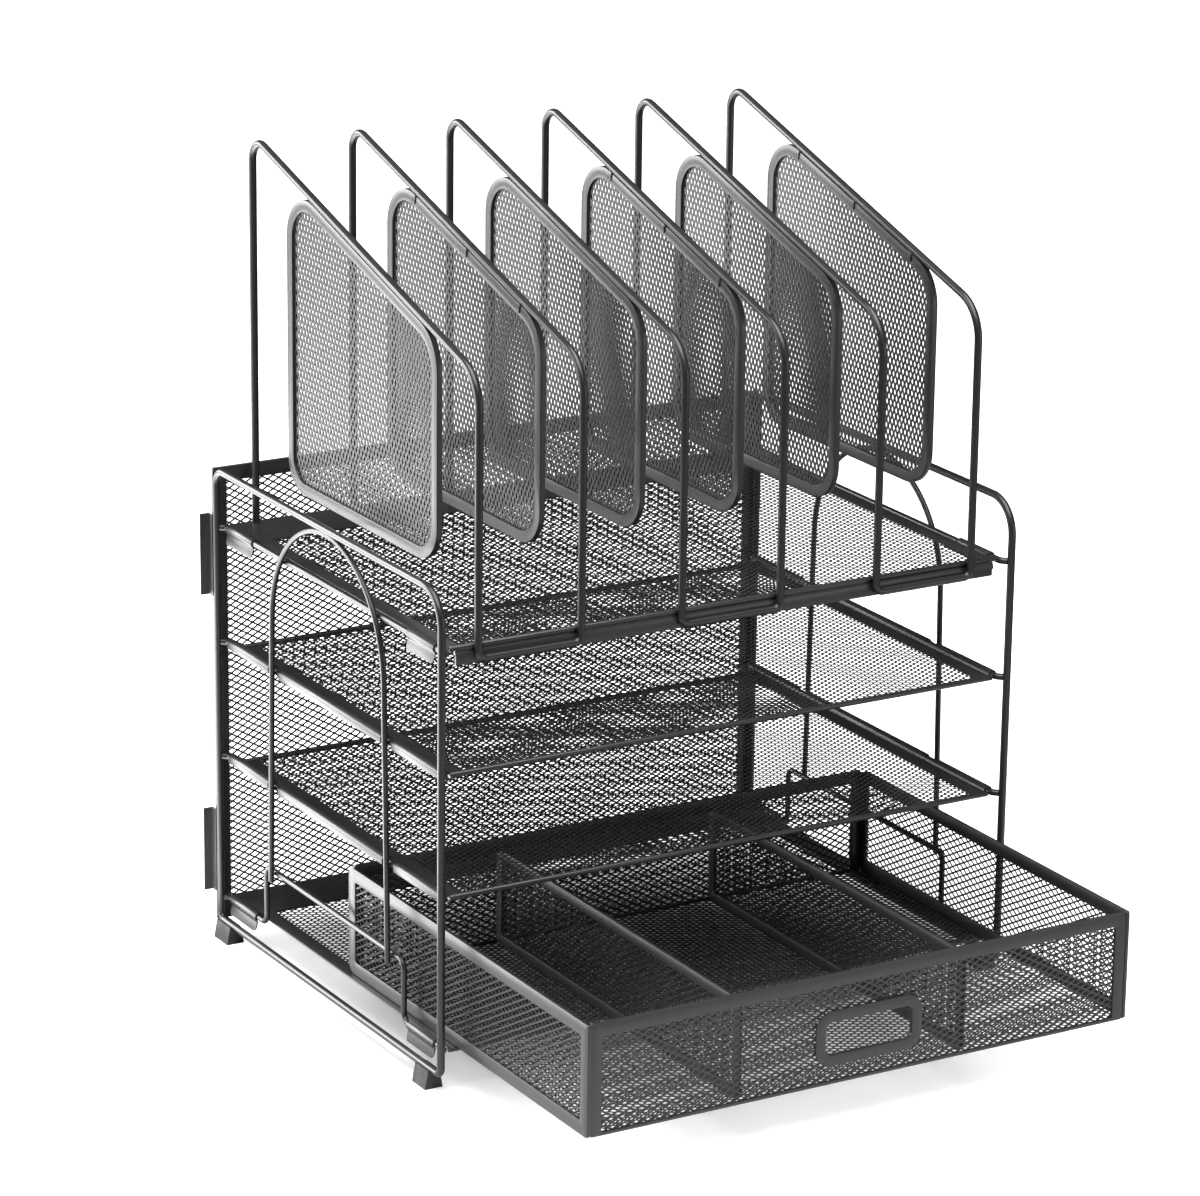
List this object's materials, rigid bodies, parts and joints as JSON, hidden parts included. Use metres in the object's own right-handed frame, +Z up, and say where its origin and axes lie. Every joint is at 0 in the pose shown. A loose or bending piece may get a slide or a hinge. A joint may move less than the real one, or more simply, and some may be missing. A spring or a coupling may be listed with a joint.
{
  "type": "file and envelope sorter with drawer",
  "caption": "Black mesh desk sorter with open letter trays, a rack of upright wire dividers on top and a pull-out divided drawer in the base.",
  "frame": {"origin": "middle of the whole part's footprint on the desk, with the drawer pulled out as stored", "axes": "+Z up from the desk, +Y from the front with the drawer towards the back panel, +X to the right as seen from the front"},
  "size_m": [0.3432, 0.378, 0.4306],
  "materials": {
    "black_wire": "satin black powder coat on steel wire",
    "black_sheet": "satin black powder coat on folded sheet steel",
    "black_mesh": "satin black powder coat on expanded-metal mesh",
    "rubber_foot": "matt moulded rubber"
  },
  "bodies": {
    "frame": {"back_panel_frame": "black_sheet", "back_panel_hooks": "black_sheet", "back_panel_mesh": "black_mesh", "base_tray_clips": "black_sheet", "base_tray_mesh": "black_mesh", "base_tray_rim": "black_sheet", "divider_1_mesh": "black_mesh", "divider_1_ring": "black_sheet", "divider_2_mesh": "black_mesh", "divider_2_ring": "black_sheet", "divider_3_mesh": "black_mesh", "divider_3_ring": "black_sheet", "divider_4_mesh": "black_mesh", "divider_4_ring": "black_sheet", "divider_5_mesh": "black_mesh", "divider_5_ring": "black_sheet", "divider_6_mesh": "black_mesh", "divider_6_ring": "black_sheet", "divider_weld_tabs": "black_sheet", "divider_wire_1": "black_wire", "divider_wire_2": "black_wire", "divider_wire_3": "black_wire", "left_arch": "black_wire", "left_base_rail": "black_wire", "left_lower_rail": "black_wire", "left_middle_rail": "black_wire", "left_side_loop": "black_wire", "left_top_rail": "black_wire", "lower_shelf_mesh": "black_mesh", "lower_shelf_rim": "black_sheet", "middle_shelf_mesh": "black_mesh", "middle_shelf_rim": "black_sheet", "right_arch": "black_wire", "right_base_rail": "black_wire", "right_lower_rail": "black_wire", "right_middle_rail": "black_wire", "right_side_loop": "black_wire", "right_top_rail": "black_wire", "rubber_feet": "rubber_foot", "top_tray_clips": "black_sheet", "top_tray_mesh": "black_mesh", "top_tray_rim": "black_sheet"},
    "drawer": {"drawer_floor_mesh": "black_mesh", "drawer_front_frame": "black_sheet", "drawer_front_mesh": "black_mesh", "drawer_left_divider": "black_sheet", "drawer_left_divider_mesh": "black_mesh", "drawer_left_frame": "black_sheet", "drawer_left_mesh": "black_mesh", "drawer_pull_ring": "black_sheet", "drawer_rear_frame": "black_sheet", "drawer_rear_mesh": "black_mesh", "drawer_right_divider": "black_sheet", "drawer_right_divider_mesh": "black_mesh", "drawer_right_frame": "black_sheet", "drawer_right_mesh": "black_mesh"}
  },
  "joints": [
    {"name": "drawer_slide", "type": "slide", "parent": "frame", "child": "drawer", "axis": [0, -1, 0], "range_m": [-0.126, 0.064]}
  ]
}
